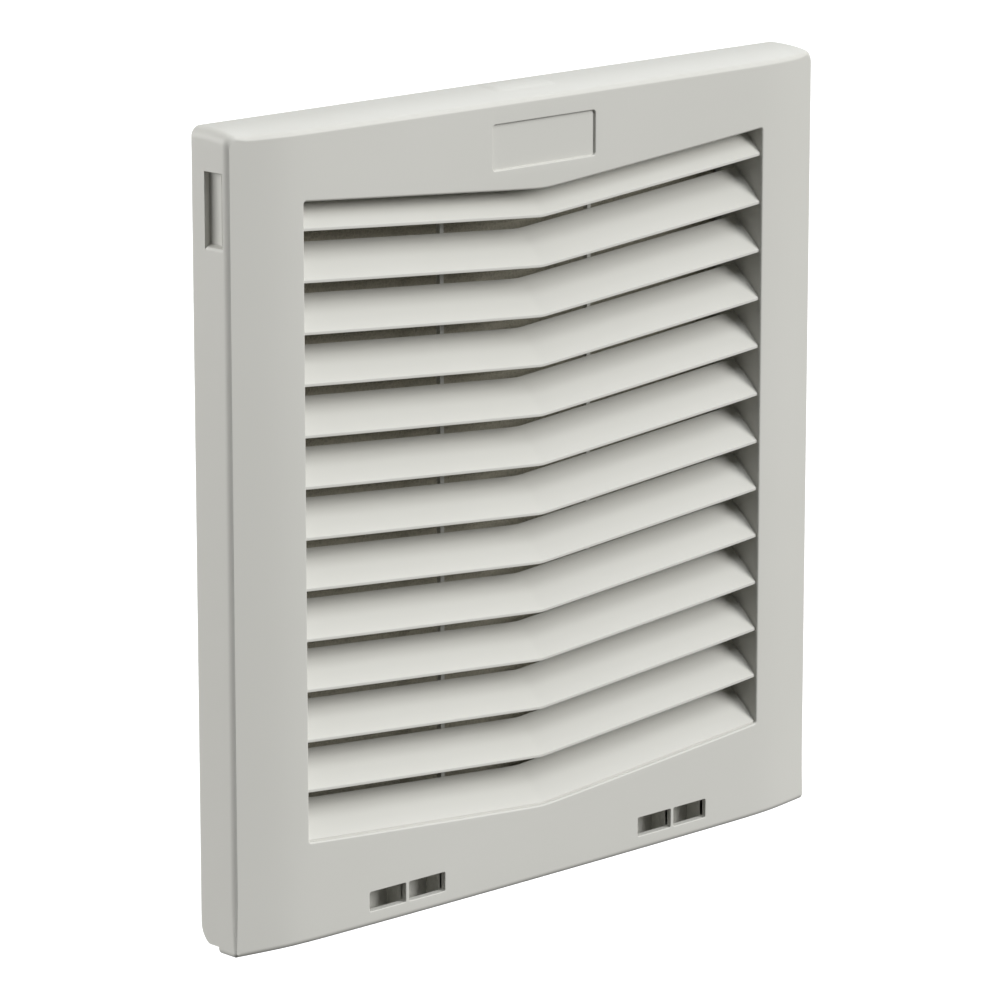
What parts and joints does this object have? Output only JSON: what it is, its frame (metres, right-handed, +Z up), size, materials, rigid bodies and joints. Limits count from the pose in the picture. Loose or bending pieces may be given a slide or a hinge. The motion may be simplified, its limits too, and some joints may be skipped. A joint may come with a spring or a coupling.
{
  "type": "exhaust filter grille",
  "caption": "Square exhaust filter grille for a panel cut-out: crowned louvre cover hinged at the bottom, side latches, snap-in base frame with filter mat and rear guard grid.",
  "frame": {"origin": "centre of the square cut-out, in the plane of the panel's outer face", "axes": "+X to the right seen from the front, +Y back through the panel (the louvres face -Y), +Z up"},
  "size_m": [0.255, 0.0408, 0.2577],
  "materials": {
    "cover_plastic": "satin",
    "frame_plastic": "satin",
    "clip_plastic": "satin",
    "steel": "plain",
    "mat_fibre": "fibrous",
    "gasket_foam": "foam"
  },
  "bodies": {
    "base": {"base_frame": "frame_plastic", "guard_basket": "frame_plastic", "basket_screws": "steel", "filter_mat": "mat_fibre", "mat_retaining_wires": "steel", "panel_gasket": "gasket_foam", "hinge_pin_left": "steel", "hinge_pin_right": "steel", "latch_spring_left": "steel", "latch_spring_right": "steel", "latch_keeper_left": "frame_plastic", "latch_keeper_right": "frame_plastic", "keeper_screws": "steel", "clip_pins": "steel", "clip_springs": "steel"},
    "cover": {"louvre_cover": "cover_plastic"},
    "latch_left": {"side_latch_left": "cover_plastic"},
    "latch_right": {"side_latch_right": "cover_plastic"},
    "clip_upper_left": {"snap_clip_upper_left": "clip_plastic"},
    "clip_lower_left": {"snap_clip_lower_left": "clip_plastic"},
    "clip_upper_right": {"snap_clip_upper_right": "clip_plastic"},
    "clip_lower_right": {"snap_clip_lower_right": "clip_plastic"}
  },
  "joints": [
    {"name": "cover_hinge", "type": "hinge", "parent": "base", "child": "cover", "pos_m": [0, -0.0085, -0.1215], "axis": [1, 0, 0], "range_deg": [0, 90]},
    {"name": "latch_left_press", "type": "slide", "parent": "base", "child": "latch_left", "axis": [1, 0, 0], "range_m": [0, 0.003], "stiffness_N_per_m": 400, "springref_m": -0.003, "deforming": ["latch_spring_left"]},
    {"name": "latch_right_press", "type": "slide", "parent": "base", "child": "latch_right", "axis": [-1, 0, 0], "range_m": [0, 0.003], "stiffness_N_per_m": 400, "springref_m": -0.003, "deforming": ["latch_spring_right"]},
    {"name": "clip_upper_left_pivot", "type": "hinge", "parent": "base", "child": "clip_upper_left", "pos_m": [-0.108, 0.014, 0.062], "axis": [0, 0, 1], "range_deg": [0, 15], "stiffness_Nm_per_rad": 0.1, "springref_deg": -8.59},
    {"name": "clip_lower_left_pivot", "type": "hinge", "parent": "base", "child": "clip_lower_left", "pos_m": [-0.108, 0.014, -0.062], "axis": [0, 0, 1], "range_deg": [0, 15], "stiffness_Nm_per_rad": 0.1, "springref_deg": -8.59},
    {"name": "clip_upper_right_pivot", "type": "hinge", "parent": "base", "child": "clip_upper_right", "pos_m": [0.108, 0.014, 0.062], "axis": [0, 0, -1], "range_deg": [0, 15], "stiffness_Nm_per_rad": 0.1, "springref_deg": -8.59},
    {"name": "clip_lower_right_pivot", "type": "hinge", "parent": "base", "child": "clip_lower_right", "pos_m": [0.108, 0.014, -0.062], "axis": [0, 0, -1], "range_deg": [0, 15], "stiffness_Nm_per_rad": 0.1, "springref_deg": -8.59}
  ]
}
